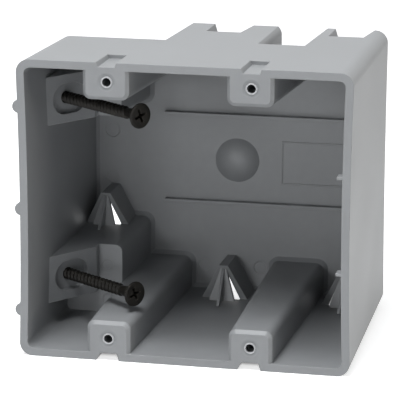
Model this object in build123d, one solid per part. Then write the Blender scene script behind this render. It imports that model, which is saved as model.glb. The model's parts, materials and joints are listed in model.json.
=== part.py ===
from build123d import *
import os
from math import cos, hypot, radians, tan

# Two-gang electrical box, moulded in one piece, with its two captive mounting screws.
# X runs across the two gangs, Y into the box from its front rim, Z up, all in millimetres.
# The origin is the centre of the four device-screw holes, in the plane of the front rim.

# Pattern of the device screws
gang_spacing = 46.04
device_screw_spacing = 83.34
device_hole_r = 1.4
device_collar_r = 1.75
device_dish_r = 2.9
device_dish_depth = 0.4
device_hole_depth = 18.0

# Front rim and overall depth
rim_width = 107.2
rim_height = 96.8
rim_offset_x = 1.3
rim_offset_z = -0.5
outer_corner_r = 4.2
wall = 2.57
depth = 80.0
back_wall = 2.5
side_bow = 0.7
rear_bow = 0.25

# Draft of the walls, in millimetres inward for each millimetre of depth
left_draft = 0.032
right_draft = 0.020
level_draft = 0.0135
core_draft = 0.005
inner_corner_r = 2.0
back_bevel = 1.3

# Ridges that run back from the device-screw bosses
boss_half = 7.0
upper_boss_left_half = 7.8
boss_edge = 5.7
boss_bevel = 1.1
boss_length = 20.0
ridge_corner_r = 2.5
ridge_left_flare = 0.9
upper_ridge_left_flare = -0.35
ridge_right_flare = 3.3
ridge_rise = 2.2
skin = 1.7

# Outside recesses behind the front part of the top and bottom walls
step_depth = 45.0
recess_corner_r = 0.8
mouth_r = 3.8

# Screw blocks in the two left corners
block_front = 42.4
block_right = -29.0
block_right_flare = 1.7
block_from_hole = 19.47
upper_block_extra = 0.45
block_rise = 1.8
block_corner_r = 2.4

# Angled wedges in front of the blocks, with a pocket each for the screw's head
wedge_start = 21.5
wedge_end = 38.7
wedge_right = -36.9
wedge_height = 15.5
pocket_length = 14.0
pocket_height = 10.1
pocket_depth = 2.0
pocket_place = 10.3

# Mounting screws
screw_length = 44.5
screw_shank_r = 2.0
screw_head_r = 4.1
screw_head_rim = 0.45
screw_cone_angle = 41.0
screw_point_length = 4.0
screw_clearance = 0.1
screw_from_hole = 11.97
lower_screw_standoff = 31.8
upper_screw_standoff = 36.2
lower_screw_lean = 0.0
upper_screw_lean = -1.9
recess_cross_length = 4.6
recess_cross_width = 1.1
recess_cross_depth = 2.2
recess_floor_length = 3.4
recess_floor_width = 0.3

# Cable clamps, moulded in one with the walls
clamp_places = (1.0, 42.2)
block_clamp_place = -40.0
clamp_height = 12.0
block_clamp_height = 10.9
clamp_apex = 3.1
clamp_slope = 27.3
clamp_wall = 1.75
clamp_foot_wall = 2.5
clamp_rear_wall = 1.97
entry_front_half = 5.1
clamp_apex_front = 63.2
clamp_foot_front = 65.6
entry_front = 65.0
entry_relief = 0.1
entry_apex_width = 1.7
tongue_foot_front = 60.4
tongue_thickness = 1.3
tongue_gap = 0.7
tongue_lift = 0.4
fin_thickness = 0.9
fin_foot_front = 53.8

# Notches in the rim, outside each boss
notch_left_half = 4.0
notch_right_half = 3.5
notch_floor_half = 2.65
notch_depth = 2.5
notch_length = 14.4

# Nubs outside the left wall and ribs inside the right wall, at the front edge
nub_heights = (32.7, -0.5, -33.7)
nub_tall = 4.2
nub_proud = 1.7
nub_length = 3.0
rib_heights = (14.9, -15.9)
rib_tall = 0.9
rib_proud = 1.7
rib_length = 4.0

# Marks of the mould on the back wall
dome_x = 2.75
dome_z = 0.5
dome_r = 7.6
dome_height = 3.0
frame_left = 17.95
frame_low = -7.2
frame_high = 7.8
frame_line_width = 0.55
frame_line_proud = 0.25
bar_left = -22.2
bar_tops = (16.75, -13.75)
bar_tall = 1.0
bar_proud = 2.5
pin_mark_r = 2.2
pin_mark_depth = 0.25
block_pin_mark_r = 1.9
side_pin_marks_x = -41.0
# Height and radius of each mark at the left
side_pin_marks = ((9.0, 2.5), (-7.5, 2.2))
low_pin_marks_z = -37.0
low_pin_marks_places = (-8.6, 10.9)
block_pin_marks_from_right = 4.9
block_pin_marks_from_screw = (0.5, -11.4)

# Sizes worked out from those above
outer_left = rim_offset_x - rim_width / 2
outer_right = rim_offset_x + rim_width / 2
outer_bottom = rim_offset_z - rim_height / 2
outer_top = rim_offset_z + rim_height / 2
middle_z = rim_offset_z
gang_centers = (-gang_spacing / 2, gang_spacing / 2)
device_hole_z = device_screw_spacing / 2
screw_height = device_hole_z - screw_from_hole
block_edge = device_hole_z - block_from_hole
upper_block_edge = block_edge - upper_block_extra
back_inner = depth - back_wall
past = 2.0
far = rim_width


def at_depth(y):
    """The upright plane at one depth, with X across and Z up."""
    return Plane.XZ.offset(-y)


def box_side(y, side, inset):
    """Where one side of the box lies at depth y, moved inward by inset and the core's draft."""
    core = core_draft * y if inset > 0 else 0
    places = {
        "left": outer_left + left_draft * y + inset + core,
        "right": outer_right - right_draft * y - inset - core,
        "bottom": outer_bottom + level_draft * y + inset + core,
        "top": outer_top - level_draft * y - inset - core,
    }
    return places[side]


def box_outline(y, inset, corner_r):
    """Outline of the box at depth y, before its sides are bowed."""
    left = box_side(y, "left", inset)
    right = box_side(y, "right", inset)
    bottom = box_side(y, "bottom", inset)
    top = box_side(y, "top", inset)
    corners = [(left, bottom), (right, bottom), (right, top), (left, top)]
    face = make_face(Polyline(*corners, close=True))
    return at_depth(y) * fillet(face.vertices(), corner_r)


def side_bulge(side, inset, corner_r):
    """What the inward bow of a side wall takes from the box's outline or its inner space."""
    sections = []
    for y in (-past, depth + past):
        x = box_side(y, side, inset)
        inward = 1 if side == "left" else -1
        low = box_side(y, "bottom", inset) + corner_r
        high = box_side(y, "top", inset) - corner_r
        bow = along(y, side_bow, rear_bow)
        outline = Polyline((x, low), (x - inward * past, low), (x - inward * past, high), (x, high))
        outline += ThreePointArc((x, high), (x + inward * bow, middle_z), (x, low))
        sections.append((at_depth(y) * make_face(outline)).face())
    return loft(sections, ruled=True)


def outer_body():
    front = box_outline(0, 0, outer_corner_r)
    rear = box_outline(depth, 0, outer_corner_r)
    body = loft([front.face(), rear.face()], ruled=True)
    return body - side_bulge("left", 0, outer_corner_r) - side_bulge("right", 0, outer_corner_r)


def cavity():
    """The drafted space inside the walls, bevelled where it meets the back wall."""
    bevel_start = back_inner - back_bevel
    front = box_outline(0, wall, inner_corner_r)
    middle = box_outline(bevel_start, wall, inner_corner_r)
    rear = box_outline(back_inner, wall + back_bevel, inner_corner_r - back_bevel)
    space = loft([front.face(), middle.face()], ruled=True)
    space += loft([middle.face(), rear.face()], ruled=True)
    return space - side_bulge("left", wall, inner_corner_r) - side_bulge("right", wall, inner_corner_r)


def bar_outline(y, left, right, edge, corner_r, round_left):
    """A bar's section below z = -edge, with its free upper corners rounded."""
    corners = [(left, -far), (right, -far), (right, -edge), (left, -edge)]
    face = make_face(Polyline(*corners, close=True))
    free = face.vertices().filter_by_position(Axis.Y, -edge - past, past - edge)
    rounded = free if round_left else free.sort_by(Axis.X)[-1:]
    return at_depth(y) * fillet(rounded, corner_r)


def along(y, front_value, rear_value, start=0.0):
    """A value that changes evenly from depth start to the back of the box."""
    return front_value + (rear_value - front_value) * (y - start) / (depth - start)


def ridge_sides(center, y, inset, left_side):
    """Left, right and upper edge of a lower ridge at depth y, drawn in by inset.

    left_side is how far the left edge lies from the center at the rim, and how much it flares."""
    left = center - along(y, left_side[0], left_side[0] + left_side[1]) + inset
    right = center + along(y, boss_half, boss_half + ridge_right_flare) - inset
    front_edge = device_hole_z - boss_edge
    edge = along(y, front_edge, front_edge - ridge_rise) + inset
    return left, right, edge


def ridge_outline(center, y, inset, left_side, open_left=0.0):
    """Section of a lower ridge at depth y, made smaller by inset."""
    left, right, edge = ridge_sides(center, y, inset, left_side)
    return bar_outline(y, left - open_left, right, edge, ridge_corner_r - inset, open_left == 0)


def ridge(center, left_side):
    """The solid outside of a lower ridge, bevelled at the rim and where it meets the back."""
    rear_start = back_inner - back_bevel
    bevelled = ridge_outline(center, 0, boss_bevel, left_side)
    front = ridge_outline(center, boss_bevel, 0, left_side)
    rear = ridge_outline(center, rear_start, 0, left_side)
    foot = ridge_outline(center, back_inner, -back_bevel, left_side)
    solid = loft([bevelled.face(), front.face()], ruled=True)
    solid += loft([front.face(), rear.face()], ruled=True)
    return solid + loft([rear.face(), foot.face()], ruled=True)


def ridge_tunnel(center, left_side):
    """The hollow in a lower ridge, open to the rear, under the front part of the wall."""
    front = ridge_outline(center, boss_length, skin, left_side)
    rear = ridge_outline(center, depth + past, skin, left_side)
    hollow = loft([front.face(), rear.face()], ruled=True)
    wall_inside = outer_bottom + wall + level_draft * step_depth
    cover = Pos(0, 0, wall_inside - far) * Box(2 * far, 2 * step_depth, 2 * far)
    return hollow - cover


def ridge_recess(center, left_side, open_left=0.0):
    """The same hollow behind the step, where the outer wall is left out."""
    front = ridge_outline(center, step_depth, skin, left_side, open_left)
    rear = ridge_outline(center, depth + past, skin, left_side, open_left)
    return loft([front.face(), rear.face()], ruled=True)


def recess_mouth(center, left_side, side):
    """Rounds the outer edge of a recess on one side, -1 for its left and 1 for its right."""
    sections = []
    for y in (step_depth, depth + past):
        left, right, edge = ridge_sides(center, y, skin, left_side)
        x = right if side > 0 else left
        z = box_side(y, "bottom", 0)
        bend = mouth_r * (1 - cos(radians(45)))
        outline = ThreePointArc((x, z + mouth_r), (x + side * bend, z + bend), (x + side * mouth_r, z))
        outline += Polyline(
            (x + side * mouth_r, z),
            (x + side * mouth_r, z - past),
            (x - side * skin, z - past),
            (x - side * skin, z + mouth_r),
            (x, z + mouth_r),
        )
        sections.append((at_depth(y) * make_face(outline)).face())
    return loft(sections, ruled=True)


def block_outline(y, edge, inset, corner_r):
    """Section at depth y of the lower block whose front upper edge is at z = -edge."""
    right = along(y, block_right, block_right + block_right_flare, block_front) - inset
    drawn_edge = along(y, edge, edge - block_rise, block_front) + inset
    return bar_outline(y, -far, right, drawn_edge, corner_r, False)


def screw_block(edge):
    """The lower screw block: it fills the box's corner from its front wall to the back."""
    rear_start = back_inner - back_bevel
    front = block_outline(block_front, edge, 0, block_corner_r)
    rear = block_outline(rear_start, edge, 0, block_corner_r)
    foot = block_outline(back_inner, edge, -back_bevel, block_corner_r + back_bevel)
    return loft([front.face(), rear.face()], ruled=True) + loft([rear.face(), foot.face()], ruled=True)


def block_recess(edge):
    """The block's hollow, open to the left, below and to the rear."""
    front = block_outline(step_depth, edge, skin, recess_corner_r)
    rear = block_outline(depth + past, edge, skin, recess_corner_r)
    return loft([front.face(), rear.face()], ruled=True)


# The wedge's face runs from the left wall back to the block, and the screw stands square to it
wedge_left = box_side(wedge_start, "left", wall)
face_run = (wedge_right - wedge_left, wedge_end - wedge_start)
face_length = hypot(*face_run)
face_along = (face_run[0] / face_length, face_run[1] / face_length)
face_out = (face_along[1], -face_along[0])


def screw_frame(side, lean=0.0):
    """Plane on a wedge's face at the screw, its normal along the screw, leaned within the plan."""
    x = wedge_left + face_along[0] * pocket_place
    y = wedge_start + face_along[1] * pocket_place
    square = Plane((x, y, side * screw_height), (*face_along, 0), (*face_out, 0))
    return square.rotated((0, 0, lean))


def screw_wedge(edge):
    """The lower wedge, from inside the left wall to inside the block's front wall."""
    behind = block_front + back_wall / 2
    reach = -far * face_along[0]
    corners = [
        (wedge_left + reach, wedge_start - far * face_along[1]),
        (wedge_right, wedge_end),
        (wedge_right, behind),
        (wedge_left + reach, behind),
    ]
    plan = make_face(Polyline(*corners, close=True))
    return Pos(0, 0, -edge) * extrude(plan, edge - block_edge - wedge_height)


def pocket(side, lean):
    """The rounded pocket in a wedge's face and the hole on through the left wall."""
    mouth = screw_frame(side) * SlotOverall(pocket_length, pocket_height)
    hole = screw_frame(side, lean) * Circle(screw_shank_r + screw_clearance)
    return extrude(mouth, -pocket_depth) + extrude(mouth, past) + extrude(hole, -far / 3)


def across_clamp(center, low, low_half, high, high_half):
    """A long bar with a trapezoid section, given by its half widths at two heights."""
    corners = [(center - low_half, low), (center + low_half, low),
               (center + high_half, high), (center - high_half, high)]
    return extrude(Plane.XZ * make_face(Polyline(*corners, close=True)), -depth - past)


def side_prism(points):
    """A prism across the box from an outline in depth and height."""
    plan = Plane.YZ * make_face(Polyline(*points, close=True))
    return extrude(plan, far, both=True)


def half_at(height, apex, apex_half, foot, foot_half):
    """Half width at a height, on the line between the apex and the foot."""
    return apex_half + (foot_half - apex_half) * (apex - height) / (apex - foot)


def entry_outline(center, y, heights, left_halves, right_halves):
    """Section of a cable entry at depth y: its half widths at each height, from the top down."""
    right = [(center + half, z) for z, half in zip(heights, right_halves)]
    left = [(center - half, z) for z, half in zip(heights, left_halves)]
    return (at_depth(y) * make_face(Polyline(*right, *reversed(left), close=True))).face()


def cable_clamp(center, base, height):
    """A clamp on a surface at z = base: returns its roof, its opening and its tongue."""
    apex = base + height
    below = base - wall - past
    rear = depth - back_wall / 2
    foot_half = clamp_apex / 2 + height * tan(radians(clamp_slope))
    sunk = base - skin / 2
    roof_side = side_prism([
        (clamp_apex_front, apex), (clamp_foot_front, base), (clamp_foot_front, sunk), (rear, sunk), (rear, apex)])
    sunk_half = half_at(sunk, apex, clamp_apex / 2, base, foot_half)
    roof = across_clamp(center, sunk, sunk_half, apex, clamp_apex / 2) & roof_side

    inner_apex = apex - clamp_wall
    inner_top = entry_apex_width / 2
    inner_foot = foot_half - clamp_foot_wall
    opening_front = entry_front - clamp_height
    opening_side = side_prism([
        (opening_front, base - entry_relief), (entry_front, base - entry_relief), (entry_front, below),
        (depth + past, below), (depth + past, apex), (opening_front, apex)])
    outer_half = foot_half - clamp_rear_wall + wall * tan(radians(clamp_slope))
    heights = (inner_apex, base, below)
    sections = []
    for y in (opening_front, depth + past):
        foot_y = along(y, inner_foot, foot_half - clamp_rear_wall, entry_front)
        right_y = along(y, entry_front_half, outer_half, entry_front)
        sections.append(
            entry_outline(center, y, heights, (inner_top, foot_y, outer_half), (inner_top, foot_y, right_y)))
    opening = loft(sections, ruled=True) & opening_side

    foot = base + tongue_lift
    hinge = apex - clamp_wall / 2
    tongue_side = side_prism([
        (clamp_apex_front, hinge), (tongue_foot_front, foot),
        (tongue_foot_front + tongue_thickness, foot), (clamp_apex_front + tongue_thickness, hinge)])
    tongue_foot = half_at(foot, inner_apex, inner_top, base, inner_foot) - tongue_gap
    fin_side = side_prism([
        (clamp_apex_front, hinge), (fin_foot_front, foot),
        (tongue_foot_front + tongue_thickness / 2, foot), (clamp_apex_front + tongue_thickness / 2, hinge)])
    fin = fin_side & Pos(center, 0, 0) * Box(fin_thickness, 4 * depth, 4 * far)
    tongue = (across_clamp(center, foot, tongue_foot, hinge, fin_thickness) & tongue_side) + fin
    return roof, opening, tongue


def clamps():
    """Roof, opening and tongue of each clamp, those on the top wall turned over."""
    made = []
    clamp_depth = (clamp_foot_front + back_inner) / 2
    floor = box_side(clamp_depth, "bottom", wall)
    ceiling = box_side(clamp_depth, "top", wall)
    for center in clamp_places:
        made.append(cable_clamp(center, floor, clamp_height))
        turned = cable_clamp(center, -ceiling, clamp_height)
        made.append([mirror(piece, about=Plane.XY) for piece in turned])
    block_top = -along(clamp_depth, block_edge, block_edge - block_rise, block_front)
    made.append(cable_clamp(block_clamp_place, block_top, block_clamp_height))
    return made


def rim_notch(center):
    """Notch outside a lower boss, slanted on its left side."""
    bottom = outer_bottom
    corners = [
        (center - notch_left_half - past / 2, bottom - past),
        (center + notch_right_half + past / 2, bottom - past),
        (center + notch_right_half, bottom),
        (center + notch_floor_half, bottom + notch_depth),
        (center - notch_floor_half, bottom + notch_depth),
        (center - notch_left_half, bottom),
    ]
    face = at_depth(-past) * make_face(Polyline(*corners, close=True))
    return extrude(face, -notch_length - past)


def wall_x(side, z):
    """X of a bowed side wall's face at the rim, at height z."""
    reach = (z - middle_z) / (rim_height / 2)
    bow = side_bow * (1 - reach * reach)
    return outer_left + bow if side == "left" else outer_right - wall - bow


def nub(z):
    """Half-round nub outside the left wall, flush with the rim."""
    radius = ((nub_tall / 2) ** 2 + nub_proud ** 2) / (2 * nub_proud)
    center = Pos(wall_x("left", z) - nub_proud + radius, 0, z)
    disc = center * (Plane.XZ * Circle(radius))
    kept = Pos(wall_x("left", z) + wall / 2 - far / 2, 0, z) * Box(far, far, far)
    return extrude(disc, -nub_length) & kept


def rib(z):
    """Small rib inside the right wall at the rim."""
    x = wall_x("right", z) - rib_proud
    width = rib_proud + wall / 2
    return Pos(x + width / 2, rib_length / 2, z) * Box(width, rib_length, rib_tall)


def device_hole(x, z):
    """Blind hole for a device screw, and the shallow dish around its thin collar."""
    front = Plane((x, 0, z), z_dir=(0, -1, 0))
    bore = extrude(front * Circle(device_hole_r), -device_hole_depth)
    corners = [(device_collar_r, 0), (device_dish_r, 0), (device_collar_r, -device_dish_depth)]
    dish = revolve(Plane.XZ * make_face(Polyline(*corners, close=True)), Axis.Z)
    return [bore, front.location * dish]


def gate_dome():
    """Shallow dome of even thickness in the back wall: proud inside, dished outside."""
    sphere_r = (dome_r ** 2 + dome_height ** 2) / (2 * dome_height)
    center = Pos(dome_x, back_inner - dome_height + sphere_r, dome_z)
    cap = center * Sphere(sphere_r)
    dish = Pos(dome_x, depth - dome_height + sphere_r, dome_z) * Sphere(sphere_r)
    near_depth = 2 * dome_height + back_wall
    near = Pos(dome_x, back_inner - dome_height, dome_z) * Box(3 * dome_r, near_depth, 3 * dome_r)
    return cap & near, dish


def raised_line(x_from, x_to, z_from, z_to, proud):
    """A straight raised strip on the back wall."""
    size = Box(x_to - x_from, 2 * proud, z_to - z_from)
    return Pos((x_from + x_to) / 2, back_inner, (z_from + z_to) / 2) * size


def back_wall_lines():
    """Two long bars and a thin bare frame, which all run on into the right wall."""
    end = box_side(back_inner, "right", wall)
    thin = frame_line_width
    lines = [raised_line(bar_left, end, z - bar_tall, z, bar_proud) for z in bar_tops]
    lines.append(raised_line(frame_left, end, frame_low, frame_low + thin, frame_line_proud))
    lines.append(raised_line(frame_left, end, frame_high - thin, frame_high, frame_line_proud))
    lines.append(raised_line(frame_left, frame_left + thin, frame_low, frame_high, frame_line_proud))
    return lines


def pin_mark(x, y, z, radius):
    """Round mark that an ejector pin leaves in a wall at depth y."""
    plane = Plane((x, y, z), z_dir=(0, -1, 0))
    return extrude(plane * Circle(radius), -pin_mark_depth)


def pin_marks():
    """The marks on the back wall and on the lower block's front wall."""
    marks = [pin_mark(side_pin_marks_x, back_inner, z, radius) for z, radius in side_pin_marks]
    marks += [pin_mark(x, back_inner, low_pin_marks_z, pin_mark_r) for x in low_pin_marks_places]
    block_x = block_right - block_pin_marks_from_right
    for offset in block_pin_marks_from_screw:
        marks.append(pin_mark(block_x, block_front, offset - screw_height, block_pin_mark_r))
    return marks


def both_ways(solid):
    """A lower feature and its mirror image at the top."""
    return [solid, mirror(solid, about=Plane.XY)]


def ridges_and_recesses(left_side):
    """The lower ridges, and what is cut from the box outside them."""
    left_gang, right_gang = gang_centers
    open_left = block_right - (left_gang - boss_half) + 2 * boss_half
    solids = [ridge(left_gang, left_side), ridge(right_gang, left_side)]
    cuts = [
        ridge_recess(left_gang, left_side, open_left),
        ridge_recess(right_gang, left_side),
        ridge_tunnel(left_gang, left_side),
        ridge_tunnel(right_gang, left_side),
        recess_mouth(left_gang, left_side, 1),
        recess_mouth(right_gang, left_side, -1),
        recess_mouth(right_gang, left_side, 1),
    ]
    return solids, cuts


def box_shell():
    """The whole moulding, as one solid."""
    inside = cavity()
    lower_ridges, lower_cuts = ridges_and_recesses((boss_half, ridge_left_flare))
    upper_ridges, upper_cuts = ridges_and_recesses((upper_boss_left_half, upper_ridge_left_flare))
    filled = lower_ridges + [mirror(solid, about=Plane.XY) for solid in upper_ridges]
    for make in (screw_block, screw_wedge):
        filled += [make(block_edge), mirror(make(upper_block_edge), about=Plane.XY)]
    for solid in filled:
        inside -= solid
    shell = outer_body() - inside

    cuts = lower_cuts + [mirror(cut, about=Plane.XY) for cut in upper_cuts]
    cuts += [block_recess(block_edge), mirror(block_recess(upper_block_edge), about=Plane.XY)]
    for center in gang_centers:
        cuts += both_ways(rim_notch(center))
    for cut in cuts:
        shell -= cut

    for roof, opening, tongue in clamps():
        shell += roof
        shell -= opening
        shell += tongue

    dome, dish = gate_dome()
    shell += dome
    shell -= dish
    for line in back_wall_lines():
        shell += line
    for mark in pin_marks():
        shell -= mark
    for z in nub_heights:
        shell += nub(z)
    for z in rib_heights:
        shell += rib(z)
    for x in gang_centers:
        for z in (-device_hole_z, device_hole_z):
            for cut in device_hole(x, z):
                shell -= cut
    shell -= pocket(-1, lower_screw_lean)
    shell -= pocket(1, upper_screw_lean)
    return shell


def mounting_screw(side, standoff, lean):
    """Countersunk screw with a cross recess, its head standing off the wedge's face."""
    cone = (screw_head_r - screw_shank_r) / tan(radians(screw_cone_angle))
    tip = standoff - screw_length
    outline = Polyline(
        (0, standoff),
        (screw_head_r, standoff),
        (screw_head_r, standoff - screw_head_rim),
        (screw_shank_r, standoff - screw_head_rim - cone),
        (screw_shank_r, tip + screw_point_length),
        (0, tip),
        close=True,
    )
    body = revolve(Plane.XZ * make_face(outline), Axis.Z)
    top = Plane((0, 0, standoff))
    floor = top.offset(-recess_cross_depth)
    for turn in (0, 90):
        mouth = top * Rot(0, 0, turn) * Rectangle(recess_cross_length, recess_cross_width)
        end = floor * Rot(0, 0, turn) * Rectangle(recess_floor_length, recess_floor_width)
        body -= loft([mouth.face(), end.face()], ruled=True)
    return screw_frame(side, lean).location * body


def seated_travel(standoff):
    """How far a screw slides until its head's cone meets the hole in the pocket's floor."""
    hole_r = screw_shank_r + screw_clearance
    cone_depth = screw_head_rim + (screw_head_r - hole_r) / tan(radians(screw_cone_angle))
    return standoff + pocket_depth - cone_depth


def write(name, solid):
    solid.label = name
    export_step(solid, f"parts/{name}.step")


os.makedirs("parts", exist_ok=True)
write("box_shell", box_shell())
write("lower_mounting_screw", mounting_screw(-1, lower_screw_standoff, lower_screw_lean))
write("upper_mounting_screw", mounting_screw(1, upper_screw_standoff, upper_screw_lean))
print("screws point out along", screw_frame(-1, lower_screw_lean).z_dir, screw_frame(1, upper_screw_lean).z_dir)
print("screw frames at", screw_frame(-1, lower_screw_lean).origin, screw_frame(1, upper_screw_lean).origin)
print("travel", seated_travel(lower_screw_standoff), seated_travel(upper_screw_standoff))
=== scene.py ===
# %% [markdown]
# A two-gang electrical box, dressed in Blender
#
# The box is one grey moulding that holds two black wood screws. The moulding's shape comes from
# the CAD model as it is, so this script only gives it a surface. The screws are made again here,
# because a real thread and a real cross recess are what the eye looks for on a screw.

# %% Load the frame and note the CAD model's size
import json
from math import cos, pi, radians, sin, tan

import bmesh
import bpy
from mathutils import Matrix, Vector


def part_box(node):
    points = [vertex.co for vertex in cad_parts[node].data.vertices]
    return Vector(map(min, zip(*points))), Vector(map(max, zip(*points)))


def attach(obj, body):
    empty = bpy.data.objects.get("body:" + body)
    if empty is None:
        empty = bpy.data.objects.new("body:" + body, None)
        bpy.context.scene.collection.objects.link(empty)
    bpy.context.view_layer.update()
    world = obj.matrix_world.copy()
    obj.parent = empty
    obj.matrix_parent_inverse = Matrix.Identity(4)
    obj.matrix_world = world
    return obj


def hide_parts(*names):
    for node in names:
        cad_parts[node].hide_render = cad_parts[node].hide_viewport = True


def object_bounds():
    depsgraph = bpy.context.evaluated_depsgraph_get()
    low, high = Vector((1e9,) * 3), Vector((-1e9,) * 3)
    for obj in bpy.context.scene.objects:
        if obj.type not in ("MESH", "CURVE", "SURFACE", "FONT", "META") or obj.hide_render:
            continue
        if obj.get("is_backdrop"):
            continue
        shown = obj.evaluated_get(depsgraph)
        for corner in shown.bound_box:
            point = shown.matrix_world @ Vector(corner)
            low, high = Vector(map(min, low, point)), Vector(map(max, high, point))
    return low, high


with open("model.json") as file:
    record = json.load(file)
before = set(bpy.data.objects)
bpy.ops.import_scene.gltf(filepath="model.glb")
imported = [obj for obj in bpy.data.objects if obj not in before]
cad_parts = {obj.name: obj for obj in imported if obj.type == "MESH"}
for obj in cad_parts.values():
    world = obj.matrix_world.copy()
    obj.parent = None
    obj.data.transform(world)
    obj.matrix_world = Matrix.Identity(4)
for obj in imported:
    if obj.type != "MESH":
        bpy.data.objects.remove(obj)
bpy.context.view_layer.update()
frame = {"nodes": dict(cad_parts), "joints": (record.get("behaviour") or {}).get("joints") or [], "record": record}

MM = 0.001


scene = bpy.context.scene

# %% [markdown]
# The camera stands to the right of the box's open front and a little above it.
# A long lens keeps the near edges only slightly larger than the far ones, as a product
# photographer's does. Its place is given as two angles and a distance from a point in the box,
# so that each can be changed by itself.

# %% Camera
CAMERA_AROUND = radians(12.5268)
CAMERA_ABOVE = radians(14.0762)
CAMERA_ROLL = radians(-0.0848)
CAMERA_DISTANCE = 818.75 * MM
CAMERA_TARGET = Vector((6.905, 0.0, 5.675)) * MM
CAMERA_LENS = 236.28
CAMERA_SENSOR = 36
CAMERA_NEAREST = 10 * MM


def add_camera():
    """A camera that looks at the target, with its lens given for its sensor's width."""
    back = Vector((
        sin(CAMERA_AROUND) * cos(CAMERA_ABOVE),
        -cos(CAMERA_AROUND) * cos(CAMERA_ABOVE),
        sin(CAMERA_ABOVE),
    ))
    right = Vector((0, 0, 1)).cross(back).normalized()
    up = back.cross(right)
    turn = Matrix((right, up, back)).transposed() @ Matrix.Rotation(-CAMERA_ROLL, 3, "Z")
    data = bpy.data.cameras.new("camera")
    data.lens = CAMERA_LENS
    data.sensor_width = CAMERA_SENSOR
    data.clip_start = CAMERA_NEAREST
    camera = bpy.data.objects.new("camera", data)
    camera.matrix_world = Matrix.Translation(CAMERA_TARGET + back * CAMERA_DISTANCE) @ turn.to_4x4()
    scene.collection.objects.link(camera)
    return camera


scene.camera = add_camera()
print("camera at", tuple(round(value, 4) for value in scene.camera.matrix_world.translation))

# %% [markdown]
# A product shot of this kind is lit by large soft boxes. The strongest stand above and a little in
# front, which makes the top face the lightest and lets some light fall in onto the front of the
# box's floor. A weaker, slightly warm one at the right lights the outer wall. Two small ones in
# front send some light into the box from the left, so that the right sides of the ridges stay dark.
# One behind is for the other views, and the camera's view hardly shows it.

# %% Lamps, each with its place and size in metres and its power in watts
COOL = (0.97, 0.985, 1.0)
WARM = (1.0, 0.955, 0.88)
LAMPS = {
    "above": {"place": (0.0, 0.0, 0.9), "size": 0.7, "power": 2.8, "color": COOL},
    "above_near": {"place": (-0.1, -0.15, 0.9), "size": 0.3, "power": 5.3, "color": COOL},
    "above_front": {"place": (-0.05, -0.42, 0.82), "size": 0.25, "power": 2.6, "color": COOL},
    "right": {"place": (0.95, -0.05, 0.0), "size": 0.4, "power": 2.9, "color": WARM},
    "front_left": {"place": (-0.35, -0.95, 0.25), "size": 0.2, "power": 1.3, "color": COOL},
    "front_low": {"place": (-0.1, -1.0, -0.02), "size": 0.2, "power": 1.8, "color": COOL},
    "behind": {"place": (-0.55, 0.85, 0.0), "size": 0.15, "power": 2.0, "color": COOL},
}


def add_light(name, place, size, power, color):
    """A square soft box, turned to the middle of the box."""
    data = bpy.data.lights.new(name, "AREA")
    data.shape = "SQUARE"
    data.size = size
    data.energy = power
    data.color = color
    light = bpy.data.objects.new(name, data)
    light.location = place
    toward = CAMERA_TARGET - Vector(place)
    light.rotation_euler = toward.to_track_quat("-Z", "Y").to_euler()
    scene.collection.objects.link(light)


for name, lamp in LAMPS.items():
    add_light(name, **lamp)
print("lit by", list(LAMPS))

# %% [markdown]
# The photograph's background is pure white. A white world that really shone would wash out the
# shadows in the box. So the world has two strengths, and the Light Path node picks one: the camera
# and glossy surfaces see white, and the box gets only a trace of light.

# %% Background
WORLD_LIGHT = (0.9, 0.95, 1.0)
WORLD_STRENGTH = 0.03


def math_node(nodes, links, operation, first, second=0.0):
    """A Math node's output. Each input is a number or another node's output."""
    node = nodes.new("ShaderNodeMath")
    node.operation = operation
    for socket, value in zip(node.inputs, (first, second)):
        if isinstance(value, (int, float)):
            socket.default_value = value
        else:
            links.new(value, socket)
    return node.outputs["Value"]


def seen_rays(nodes, links):
    """1 for the rays that show the background itself: the camera's, and those of gloss and glass."""
    rays = nodes.new("ShaderNodeLightPath")
    total = rays.outputs["Is Camera Ray"]
    for label in ("Is Glossy Ray", "Is Transmission Ray"):
        total = math_node(nodes, links, "MAXIMUM", total, rays.outputs[label])
    return total


def add_world():
    """Faint surroundings that light the box, and look white to the camera and in gloss."""
    world = bpy.data.worlds.new("studio")
    world.use_nodes = True
    nodes, links = world.node_tree.nodes, world.node_tree.links
    nodes.clear()
    lit = nodes.new("ShaderNodeBackground")
    lit.inputs["Color"].default_value = (*WORLD_LIGHT, 1)
    lit.inputs["Strength"].default_value = WORLD_STRENGTH
    seen = nodes.new("ShaderNodeBackground")
    seen.inputs["Color"].default_value = (1, 1, 1, 1)
    mix = nodes.new("ShaderNodeMixShader")
    out = nodes.new("ShaderNodeOutputWorld")
    links.new(seen_rays(nodes, links), mix.inputs["Fac"])
    links.new(lit.outputs["Background"], mix.inputs[1])
    links.new(seen.outputs["Background"], mix.inputs[2])
    links.new(mix.outputs["Shader"], out.inputs["Surface"])
    scene.world = world


add_world()
scene.view_settings.view_transform = "Standard"
print("background gives light of strength", WORLD_STRENGTH)

# %% [markdown]
# Right under the box the floor will have no light of its own, so it is as dark there as the lamps
# leave it. That place needs a mask. A painted picture would blur close up, but a few Math nodes on
# the floor's own coordinates stay sharp at any size and follow the box's corners.

# %% The place right under the box
SHADE_INSET = 4 * MM
SHADE_EDGE = 6 * MM


def rise(nodes, links, value, start, end):
    """0 before the start and 1 past the end, softly, in whichever direction the end lies."""
    node = nodes.new("ShaderNodeMapRange")
    node.interpolation_type = "SMOOTHSTEP"
    node.inputs["From Min"].default_value = start
    node.inputs["From Max"].default_value = end
    links.new(value, node.inputs["Value"])
    return node.outputs["Result"]


def place_parts(nodes, links):
    """The X, Y and Z of the shaded point, in metres."""
    place = nodes.new("ShaderNodeTexCoord")
    split = nodes.new("ShaderNodeSeparateXYZ")
    links.new(place.outputs["Object"], split.inputs["Vector"])
    return split.outputs


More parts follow.
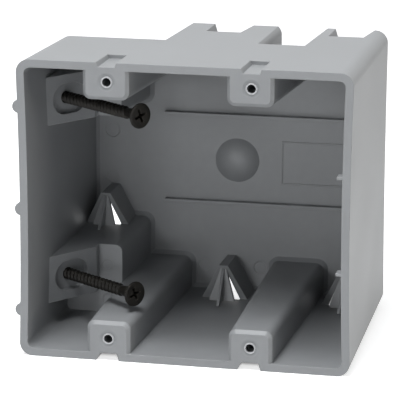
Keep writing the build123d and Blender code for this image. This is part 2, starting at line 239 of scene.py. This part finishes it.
def out_of_shade(nodes, links):
    """0 on the floor right under the box, and 1 everywhere outside its footprint."""
    low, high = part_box("box_shell")
    place = place_parts(nodes, links)
    clear = 0.0
    for number, axis in enumerate(("X", "Y")):
        first, last = low[number] + SHADE_INSET, high[number] - SHADE_INSET
        before = rise(nodes, links, place[axis], first + SHADE_EDGE, first)
        past = rise(nodes, links, place[axis], last - SHADE_EDGE, last)
        outside = math_node(nodes, links, "MAXIMUM", before, past)
        clear = math_node(nodes, links, "MAXIMUM", outside, clear)
    return clear


print("the mask's edge is", round(SHADE_EDGE / MM), "mm wide")

# %% [markdown]
# The box stands on a plain pale floor. To the camera the floor is partly its own light, which
# brings it up to the white of the background, and partly a matte surface, which keeps the box's
# soft shadow. A floor that only shone would show no shadow, and the box would seem to float.

# %% Floor
FLOOR_SIZE = 6.0
FLOOR_GLOW = 0.72
FLOOR_COLOR = (0.8, 0.8, 0.8)


def node_material(name):
    """A new material with an output node, and its nodes and links."""
    material = bpy.data.materials.new(name)
    material.use_nodes = True
    material.node_tree.nodes.clear()
    nodes, links = material.node_tree.nodes, material.node_tree.links
    return material, nodes, links, nodes.new("ShaderNodeOutputMaterial")


def floor_material():
    """Matte and pale, with light of its own for the camera everywhere but under the box."""
    material, nodes, links, out = node_material("studio_floor")
    matte = nodes.new("ShaderNodeBsdfDiffuse")
    matte.inputs["Color"].default_value = (*FLOOR_COLOR, 1)
    clear = out_of_shade(nodes, links)
    glow = math_node(nodes, links, "MULTIPLY", clear, seen_rays(nodes, links))
    white = nodes.new("ShaderNodeEmission")
    white.inputs["Color"].default_value = (1, 1, 1, 1)
    links.new(math_node(nodes, links, "MULTIPLY", glow, FLOOR_GLOW), white.inputs["Strength"])
    both = nodes.new("ShaderNodeAddShader")
    links.new(matte.outputs["BSDF"], both.inputs[0])
    links.new(white.outputs["Emission"], both.inputs[1])
    links.new(both.outputs["Shader"], out.inputs["Surface"])
    return material


def add_floor():
    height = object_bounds()[0][2]
    mesh = bpy.data.meshes.new("floor")
    half = FLOOR_SIZE / 2
    corners = [(-half, -half, height), (half, -half, height), (half, half, height), (-half, half, height)]
    mesh.from_pydata(corners, [], [(0, 1, 2, 3)])
    mesh.materials.append(floor_material())
    floor = bpy.data.objects.new("floor", mesh)
    scene.collection.objects.link(floor)
    floor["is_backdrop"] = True
    return floor


floor = add_floor()
print("floor lies at", round(floor.data.vertices[0].co.z / MM, 2), "mm")

# %% [markdown]
# Two effects show on more than one material, so each is a node group with its own inputs.
#
# A mould's steel is etched or blasted, and that leaves a fine even grain on plastic. Paint or a
# chemical black coat has a similar fine grain. The first group makes a grain as a bump. Noise
# suits it better than an image would, since it has no seam and no repeat.

# %% Fine grain
GRAIN_DETAIL = 2


def new_group(name, inputs, outputs):
    """A shader group with its own interface, and its input and output nodes."""
    group = bpy.data.node_groups.new(name, "ShaderNodeTree")
    for label, kind, value in inputs:
        made = group.interface.new_socket(label, in_out="INPUT", socket_type=kind)
        if value is not None:
            made.default_value = value
    for label, kind in outputs:
        group.interface.new_socket(label, in_out="OUTPUT", socket_type=kind)
    return group, group.nodes.new("NodeGroupInput"), group.nodes.new("NodeGroupOutput")


def noise_mask(nodes, links, spacing, size, detail):
    """Noise from 0 to 1. Its features are size times the spacing, which is in millimetres."""
    place = nodes.new("ShaderNodeTexCoord")
    noise = nodes.new("ShaderNodeTexNoise")
    noise.inputs["Detail"].default_value = detail
    links.new(place.outputs["Object"], noise.inputs["Vector"])
    links.new(math_node(nodes, links, "DIVIDE", 1 / (size * MM), spacing), noise.inputs["Scale"])
    return noise.outputs["Fac"]


def fine_grain_group():
    """Grain of a given spacing and height in millimetres, as a normal and as a mask."""
    group, entry, leave = new_group(
        "fine_grain",
        [("Spacing", "NodeSocketFloat", 0.4), ("Height", "NodeSocketFloat", 0.01),
         ("Normal", "NodeSocketVector", None)],
        [("Normal", "NodeSocketVector"), ("Mask", "NodeSocketFloat")],
    )
    nodes, links = group.nodes, group.links
    noise = noise_mask(nodes, links, entry.outputs["Spacing"], 1, GRAIN_DETAIL)
    bump = nodes.new("ShaderNodeBump")
    height = math_node(nodes, links, "MULTIPLY", entry.outputs["Height"], MM)
    links.new(height, bump.inputs["Distance"])
    links.new(noise, bump.inputs["Height"])
    links.new(entry.outputs["Normal"], bump.inputs["Normal"])
    links.new(bump.outputs["Normal"], leave.inputs["Normal"])
    links.new(noise, leave.inputs["Mask"])
    return group


FINE_GRAIN = fine_grain_group()
print("group:", FINE_GRAIN.name)

# %% [markdown]
# No real surface has one exact colour: plastic shows faint flow clouds, and a coated metal shows
# thin places. The second group mixes two sizes of noise into one mask for that. One size alone
# would look like even blots.

# %% Clouds
CLOUD_DETAIL = 3
FINE_CLOUD_SIZE = 1 / 8


def clouds_group():
    """A soft mask made of two sizes of noise, with its spacing in millimetres."""
    group, entry, leave = new_group(
        "clouds",
        [("Spacing", "NodeSocketFloat", 20.0), ("Fine Share", "NodeSocketFloat", 0.3)],
        [("Mask", "NodeSocketFloat")],
    )
    nodes, links = group.nodes, group.links
    mix = nodes.new("ShaderNodeMix")
    mix.data_type = "FLOAT"
    links.new(entry.outputs["Fine Share"], mix.inputs[0])
    for socket, size in ((mix.inputs[2], 1), (mix.inputs[3], FINE_CLOUD_SIZE)):
        links.new(noise_mask(nodes, links, entry.outputs["Spacing"], size, CLOUD_DETAIL), socket)
    links.new(mix.outputs[0], leave.inputs["Mask"])
    return group


CLOUDS = clouds_group()
print("group:", CLOUDS.name)

# %% [markdown]
# A real edge is never razor sharp, and what rubs on it leaves it a little smoother and lighter.
# The lighter colour on edges is also a painted highlight, for the light that a rounded edge catches.
# Bevels in the mesh would show the rounding too, but the CAD part's mesh stays as it is. The Bevel
# node rounds the normal only, and where that normal turns away from the face's own there is an edge.

# %% Edges
EDGE_SAMPLES = 6
EDGE_STARTS = 0.98
EDGE_FULL = 0.80
NOISE_LOW = 0.3
NOISE_HIGH = 0.7


def edge_mask(nodes, links, radius):
    """The rounded normal at edges, and a mask that is 1 on them and 0 on flat faces."""
    rounded = nodes.new("ShaderNodeBevel")
    rounded.samples = EDGE_SAMPLES
    rounded.inputs["Radius"].default_value = radius
    flat = nodes.new("ShaderNodeNewGeometry")
    turned = nodes.new("ShaderNodeVectorMath")
    turned.operation = "DOT_PRODUCT"
    links.new(rounded.outputs["Normal"], turned.inputs[0])
    links.new(flat.outputs["True Normal"], turned.inputs[1])
    mask = nodes.new("ShaderNodeMapRange")
    mask.inputs["From Min"].default_value = EDGE_STARTS
    mask.inputs["From Max"].default_value = EDGE_FULL
    links.new(turned.outputs["Value"], mask.inputs["Value"])
    return rounded.outputs["Normal"], mask.outputs["Result"]


def spread(nodes, links, source, low, high):
    """Spreads the middle of a noise mask over the range from low to high."""
    node = nodes.new("ShaderNodeMapRange")
    node.inputs["From Min"].default_value = NOISE_LOW
    node.inputs["From Max"].default_value = NOISE_HIGH
    node.inputs["To Min"].default_value = low
    node.inputs["To Max"].default_value = high
    links.new(source, node.inputs["Value"])
    return node.outputs["Result"]


def use_group(nodes, group, **values):
    """A node of a shared group, with its inputs set by name."""
    node = nodes.new("ShaderNodeGroup")
    node.node_tree = group
    for label, value in values.items():
        node.inputs[label.replace("_", " ")].default_value = value
    return node


def blend_colors(nodes, links, factor, first, second):
    """Mixes two colours, each a tuple or another node's output."""
    node = nodes.new("ShaderNodeMix")
    node.data_type = "RGBA"
    links.new(factor, node.inputs["Factor"])
    for socket, color in ((node.inputs[6], first), (node.inputs[7], second)):
        if isinstance(color, tuple):
            socket.default_value = (*color, 1)
        else:
            links.new(color, socket)
    return node.outputs[2]


print("an edge is fully lighter where its normal's cosine falls to", EDGE_FULL)

# %% [markdown]
# The small collar round each hole for a device's screw is painted lighter: a painted highlight on
# its front. The holes lie evenly about the origin, so the mask takes the sizes of X and Z, and one
# distance serves all four.

# %% Collars' painted highlight
COLLAR_R = 1.95 * MM
BORE_R = 1.4 * MM
COLLAR_EDGE = 0.12 * MM
COLLAR_HEIGHT = 0.6 * MM


def collar_highlight_mask(nodes, links):
    """1 on the front of the collars of the device-screw holes, where a highlight is painted."""
    pattern = frame["record"]["mounts"][0]["dims"]
    place = place_parts(nodes, links)
    from_hole = nodes.new("ShaderNodeCombineXYZ")
    for axis, spacing in (("X", pattern["spacing_x_mm"]), ("Z", pattern["spacing_y_mm"])):
        side = math_node(nodes, links, "ABSOLUTE", place[axis])
        offset = math_node(nodes, links, "SUBTRACT", side, spacing / 2 * MM)
        links.new(offset, from_hole.inputs[axis])
    away = nodes.new("ShaderNodeVectorMath")
    away.operation = "LENGTH"
    links.new(from_hole.outputs["Vector"], away.inputs[0])
    collar = rise(nodes, links, away.outputs["Value"], COLLAR_R, COLLAR_R - COLLAR_EDGE)
    bore = rise(nodes, links, away.outputs["Value"], BORE_R - COLLAR_EDGE, BORE_R)
    front = rise(nodes, links, place["Y"], COLLAR_HEIGHT, COLLAR_HEIGHT - COLLAR_EDGE)
    ring = math_node(nodes, links, "MULTIPLY", collar, bore)
    return math_node(nodes, links, "MULTIPLY", ring, front)


print("collars of radius", round(COLLAR_R / MM, 2), "mm")

# %% [markdown]
# The moulding is a stiff grey thermoplastic, coloured through. It comes out of an etched mould
# with a dull satin face. The colour is cool and nearly even, with faint clouds. A plain grey would
# do for a drawing, but the clouds, the grain and the lighter edges are what make it plastic. The
# edges are lighter partly as rubbed plastic and partly as a painted highlight, and the collars round
# the device-screw holes carry a painted highlight.

# %% Moulded plastic
PLASTIC_DARK = (0.250, 0.257, 0.265)
PLASTIC_LIGHT = (0.285, 0.292, 0.300)
# Lighter edges: partly rubbed plastic, partly a painted highlight.
PLASTIC_EDGE_WEAR_AND_HIGHLIGHT = (0.36, 0.365, 0.37)
# A painted highlight on the collars of the device-screw holes.
PLASTIC_COLLAR_HIGHLIGHT = (0.56, 0.57, 0.58)
PLASTIC_ROUNDING = 0.3 * MM
PLASTIC_SMOOTH = 0.42
PLASTIC_ROUGH = 0.50


def moulding_material():
    material, nodes, links, out = node_material("moulded_plastic")
    plastic = nodes.new("ShaderNodeBsdfPrincipled")
    normal, edges = edge_mask(nodes, links, PLASTIC_ROUNDING)
    clouds = use_group(nodes, CLOUDS, Spacing=24.0, Fine_Share=0.25).outputs["Mask"]
    tone = spread(nodes, links, clouds, 0.0, 1.0)
    color = blend_colors(nodes, links, tone, PLASTIC_DARK, PLASTIC_LIGHT)
    # Edges are lighter, partly rubbed and partly a painted highlight.
    color = blend_colors(nodes, links, edges, color, PLASTIC_EDGE_WEAR_AND_HIGHLIGHT)
    # The collars are painted lighter: a painted highlight.
    color = blend_colors(nodes, links, collar_highlight_mask(nodes, links), color, PLASTIC_COLLAR_HIGHLIGHT)
    grain = use_group(nodes, FINE_GRAIN, Spacing=0.35, Height=0.02)
    links.new(normal, grain.inputs["Normal"])
    rough = spread(nodes, links, clouds, PLASTIC_SMOOTH, PLASTIC_ROUGH)
    links.new(color, plastic.inputs["Base Color"])
    links.new(rough, plastic.inputs["Roughness"])
    links.new(grain.outputs["Normal"], plastic.inputs["Normal"])
    links.new(plastic.outputs["BSDF"], out.inputs["Surface"])
    return material


def dress(obj, material):
    """Gives every face of an object one material."""
    obj.data.materials.clear()
    obj.data.materials.append(material)


dress(frame["nodes"]["box_shell"], moulding_material())
print("box_shell wears moulded plastic")

# %% [markdown]
# Each screw is a hardened steel wood screw. Its thread is rolled: a right-hand ridge that runs
# from just under the head down to the point. A stack of rings or a Screw modifier could stand for
# it, but here the mesh follows the thread's own helix. Each column of points is one place around
# the shank, and the last point of a turn is the first of the next, so the ridge closes on itself
# with no seam. At both ends it fades into the core.

# %% Thread's outline
SEGMENTS = 40
CORE_R = 1.45 * MM
THREAD_R = 2.0 * MM
PITCH = 1.75 * MM
POINT_LENGTH = 4.0 * MM
POINT_R = 0.12 * MM
NECK_R = 1.85 * MM
FADE_OUT = 1.2 * PITCH
# Share of the pitch and whether the point is on the thread's crest
PROFILE = ((0.0, 0), (0.40, 0), (0.66, 1), (0.74, 1))


def eased(value):
    value = min(max(value, 0.0), 1.0)
    return value * value * (3 - 2 * value)


def thread_radius(height, crest, neck_start):
    """Radius at a height above the tip, on the thread's crest or on its core."""
    core = POINT_R + (CORE_R - POINT_R) * min(height / POINT_LENGTH, 1.0)
    grown = eased(height / POINT_LENGTH) * eased((neck_start - height) / FADE_OUT)
    swell = eased((height - neck_start + PITCH) / PITCH)
    core += (NECK_R - core) * swell
    return core + crest * (THREAD_R - CORE_R) * grown


def thread_points(mesh, steps, start, neck_start):
    """Rows of profile points along the helix, with one more turn of first points."""
    rows = []
    for step in range(steps + SEGMENTS + 1):
        angle = 2 * pi * step / SEGMENTS
        row = []
        kept = PROFILE if step <= steps else PROFILE[:1]
        for share, crest in kept:
            height = start + PITCH * (step / SEGMENTS + share)
            radius = thread_radius(height, crest, neck_start)
            row.append(mesh.verts.new((radius * cos(angle), radius * sin(angle), height)))
        rows.append(row)
    return rows


print("thread of pitch", round(PITCH / MM, 2), "mm, and", round((THREAD_R - CORE_R) / MM, 2), "mm deep")

# %% [markdown]
# The faces between the points are made in the same order as the helix climbs. A flat ring closes
# the thread at the tip and another leads into the smooth neck, and each takes in the step where
# the ridge starts or ends.

# %% Thread's faces
TIP_HEIGHT = 0.3 * MM
TIP_R = 0.6 * POINT_R
NECK_LEAD = 0.4 * MM


def add_ring(mesh, radius, height):
    ring = []
    for step in range(SEGMENTS):
        angle = 2 * pi * step / SEGMENTS
        ring.append(mesh.verts.new((radius * cos(angle), radius * sin(angle), height)))
    return ring


def close_tip(mesh, ring, rows):
    for step in range(SEGMENTS - 1):
        mesh.faces.new((ring[step], ring[step + 1], rows[step + 1][0], rows[step][0]))
    mesh.faces.new((ring[-1], ring[0], *rows[0], rows[SEGMENTS][0], rows[SEGMENTS - 1][0]))


def close_neck(mesh, ring, rows, steps):
    for step in range(1, SEGMENTS):
        after = (step + 1) % SEGMENTS
        mesh.faces.new((rows[steps + step][0], rows[steps + step + 1][0], ring[after], ring[step]))
    mesh.faces.new((rows[steps][0], rows[steps + 1][0], ring[1], ring[0],
                    rows[steps + SEGMENTS][0], *reversed(rows[steps][1:])))


def add_thread(mesh, neck_start):
    """The threaded length. Returns the rings that close it at the tip and at the neck."""
    steps = int((neck_start - TIP_HEIGHT) / PITCH - 1) * SEGMENTS
    rows = thread_points(mesh, steps, TIP_HEIGHT, neck_start)
    for step in range(steps):
        here = rows[step] + [rows[step + SEGMENTS][0]]
        there = rows[step + 1] + [rows[step + 1 + SEGMENTS][0]]
        for place in range(len(PROFILE)):
            mesh.faces.new((here[place], there[place], there[place + 1], here[place + 1]))
    low = add_ring(mesh, TIP_R, 0.0)
    high = add_ring(mesh, NECK_R, neck_start + NECK_LEAD)
    close_tip(mesh, low, rows)
    close_neck(mesh, high, rows, steps)
    return low, high


print("thread starts", round(TIP_HEIGHT / MM, 2), "mm above the tip")

# %% [markdown]
# The smooth neck, the countersunk head and its rounded rim are turned on from there. They are
# round, so an outline of radius and height is enough, with one ring of points for each pair.

# %% Head
HEAD_R = 4.1 * MM
HEAD_RIM = 0.45 * MM
HEAD_CONE = radians(41.0)
HEAD_SOFTNESS = 0.18 * MM
HEAD_BEVEL = 0.3 * HEAD_SOFTNESS
HEAD_FLAT_R = 0.75 * HEAD_R
NECK_LENGTH = 1.2 * MM
NECK_FILLET = 0.10 * MM
RIM_FILLET = 0.12 * MM
RIM_DROP = 0.10 * MM


def join_rings(mesh, low, high):
    for step in range(SEGMENTS):
        after = (step + 1) % SEGMENTS
        mesh.faces.new((low[step], low[after], high[after], high[step]))


def head_outline(length):
    """Radius and height of each ring, from under the head to the edge of its flat top."""
    rim_low = length - HEAD_RIM
    under = rim_low - (HEAD_R - NECK_R) / tan(HEAD_CONE)
    return [
        (NECK_R, under),
        (NECK_R + NECK_FILLET, under + 2 * NECK_FILLET),
        (HEAD_R - RIM_FILLET, rim_low - RIM_DROP),
        (HEAD_R, rim_low + RIM_FILLET / 2),
        (HEAD_R, length - HEAD_SOFTNESS),
        (HEAD_R - HEAD_BEVEL, length - HEAD_BEVEL),
        (HEAD_R - HEAD_SOFTNESS, length),
        (HEAD_FLAT_R, length),
    ]


def screw_mesh(name, length):
    """A whole screw along its own Z axis, with its tip at the origin."""
    mesh = bmesh.new()
    neck_start = length - HEAD_RIM - (HEAD_R - NECK_R) / tan(HEAD_CONE) - NECK_LENGTH
    low, ring = add_thread(mesh, neck_start)
    for radius, height in head_outline(length):
        after = add_ring(mesh, radius, height)
        join_rings(mesh, ring, after)
        ring = after
    mesh.faces.new(ring)
    mesh.faces.new(list(reversed(low)))
    bmesh.ops.recalc_face_normals(mesh, faces=mesh.faces)
    data = bpy.data.meshes.new(name)
    mesh.to_mesh(data)
    mesh.free()
    return data


print("head is", round(2 * HEAD_R / MM, 1), "mm across")

# %% [markdown]
# The cross recess is pressed into the head by a punch with four wings. The wings are narrow,
# get shorter with depth and meet in a blunt cone. A bump or a dark cross would look flat from the
# side, so here a punch of that shape is cut out of the head.

# %% Punch for the cross recess
WING_LENGTH = 2.35 * MM
WING_HALF = 0.50 * MM
WING_LEAST = 0.55
HUB_R = 0.95 * MM
HUB_CORNER = 1.4
RECESS_DEPTH = 2.3 * MM
PUNCH_ABOVE = 0.5 * MM
PUNCH_TOP_REACH = 1.08
PUNCH_LOW_REACH = 0.25
PUNCH_CONE = 0.4 * MM


def punch_ring(mesh, shrink, height):
    """The cross outline of the punch at one height, with its wings drawn in by shrink."""
    ring = []
    reach = HUB_R + (WING_LENGTH - HUB_R) * shrink
    half = WING_HALF * (WING_LEAST + (1 - WING_LEAST) * shrink)
    corner = half * HUB_CORNER
    for quarter in range(4):
        turn = Matrix.Rotation(quarter * pi / 2, 3, "Z")
        for x, y in ((corner, -half), (reach, -half), (reach, half), (corner, half)):
            ring.append(mesh.verts.new(turn @ Vector((x, y, height))))
    return ring


def punch(length):
    mesh = bmesh.new()
    top = punch_ring(mesh, PUNCH_TOP_REACH, length + PUNCH_ABOVE)
    low = punch_ring(mesh, PUNCH_LOW_REACH, length - RECESS_DEPTH)
    bottom = mesh.verts.new((0, 0, length - RECESS_DEPTH - PUNCH_CONE))
    for step in range(len(top)):
        after = (step + 1) % len(top)
        mesh.faces.new((low[step], low[after], top[after], top[step]))
        mesh.faces.new((low[after], low[step], bottom))
    mesh.faces.new(top)
    bmesh.ops.recalc_face_normals(mesh, faces=mesh.faces)
    data = bpy.data.meshes.new("punch")
    mesh.to_mesh(data)
    mesh.free()
    tool = bpy.data.objects.new("punch", data)
    scene.collection.objects.link(tool)
    return tool


def press_recess(screw, length):
    """Cuts the punch out of the head and applies the cut."""
    tool = punch(length)
    cut = screw.modifiers.new("recess", "BOOLEAN")
    cut.operation = "DIFFERENCE"
    cut.solver = "EXACT"
    cut.object = tool
    bpy.context.view_layer.update()
    done = bpy.data.meshes.new_from_object(screw.evaluated_get(bpy.context.evaluated_depsgraph_get()))
    screw.modifiers.clear()
    screw.data = done
    bpy.data.objects.remove(tool)


print("recess is", round(RECESS_DEPTH / MM, 1), "mm deep")

# %% [markdown]
# The screws are hardened and given a black phosphate coat, which is dull, slightly brown and a
# little uneven. The thread's crests and the rim of the head rub against other screws in the
# carton, so the coat is thinner there and the steel begins to show. Their lighter colour is also a
# painted highlight, for the light that these edges catch. The coat soaks up light, so its specular
# level is low, and that is set on the shader's own socket.

# %% Black coated steel
COAT_DARK = (0.007, 0.0065, 0.006)
COAT_LIGHT = (0.020, 0.018, 0.015)
# Crests and head rim: partly worn coat, partly a painted highlight.
COAT_WORN_AND_HIGHLIGHT = (0.16, 0.148, 0.125)
COAT_ROUNDING = 0.12 * MM
COAT_SMOOTH = 0.30
COAT_ROUGH = 0.45
COAT_METALLIC = 0.2
COAT_SPECULAR = 0.2


def screw_material():
    material, nodes, links, out = node_material("black_phosphate_steel")
    coat = nodes.new("ShaderNodeBsdfPrincipled")
    normal, edges = edge_mask(nodes, links, COAT_ROUNDING)
    clouds = use_group(nodes, CLOUDS, Spacing=3.0, Fine_Share=0.5).outputs["Mask"]
    tone = spread(nodes, links, clouds, 0.0, 1.0)
    # Lighter on edges: worn coat and a painted highlight, varied by the clouds.
    worn_and_highlight = math_node(nodes, links, "MULTIPLY", edges, tone)
    color = blend_colors(nodes, links, tone, COAT_DARK, COAT_LIGHT)
    color = blend_colors(nodes, links, worn_and_highlight, color, COAT_WORN_AND_HIGHLIGHT)
    grain = use_group(nodes, FINE_GRAIN, Spacing=0.12, Height=0.008)
    links.new(normal, grain.inputs["Normal"])
    coat.inputs["Metallic"].default_value = COAT_METALLIC
    coat.inputs["Specular IOR Level"].default_value = COAT_SPECULAR
    links.new(color, coat.inputs["Base Color"])
    links.new(spread(nodes, links, clouds, COAT_SMOOTH, COAT_ROUGH), coat.inputs["Roughness"])
    links.new(grain.outputs["Normal"], coat.inputs["Normal"])
    links.new(coat.outputs["BSDF"], out.inputs["Surface"])
    return material


black = screw_material()
print("made", black.name)

# %% [markdown]
# Each screw stands where its CAD node stands. The record's slide joint gives its direction, and
# the node's own mesh gives its tip and length, so nothing is measured twice. The recess is turned
# about that axis as the photograph shows it.

# %% Place the screws
RECESS_TURN = radians(20)
SHARP_EDGE = radians(35)


def joint_axis(name):
    for joint in frame["joints"]:
        if joint["name"] == name:
            return Vector(joint["axis"])


def screw_line(node, out):
    """Tip and length of a CAD screw, measured along the direction that its head faces."""
    corners = [vertex.co for vertex in frame["nodes"][node].data.vertices]
    tip = min(corners, key=lambda co: co.dot(out))
    top = max(co.dot(out) for co in corners)
    return tip.copy(), top - tip.dot(out)


def add_screw(node, body, material):
    out = -joint_axis(body + "_slide").normalized()
    tip, length = screw_line(node, out)
    screw = bpy.data.objects.new(body + "_threaded", screw_mesh(body + "_threaded", length))
    scene.collection.objects.link(screw)
    press_recess(screw, length)
    across = Vector((0, 0, 1)).cross(out).normalized()
    above = out.cross(across)
    stand = Matrix((across, above, out)).transposed().to_4x4()
    screw.data.transform(Matrix.Translation(tip) @ stand @ Matrix.Rotation(RECESS_TURN, 4, "Z"))
    screw.data.shade_smooth()
    screw.data.set_sharp_from_angle(angle=SHARP_EDGE)
    dress(screw, material)
    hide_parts(node)
    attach(screw, body)
    return screw


lower = add_screw("lower_mounting_screw", "lower_screw", black)
upper = add_screw("upper_mounting_screw", "upper_screw", black)
print("screws have", len(lower.data.polygons), "and", len(upper.data.polygons), "faces")
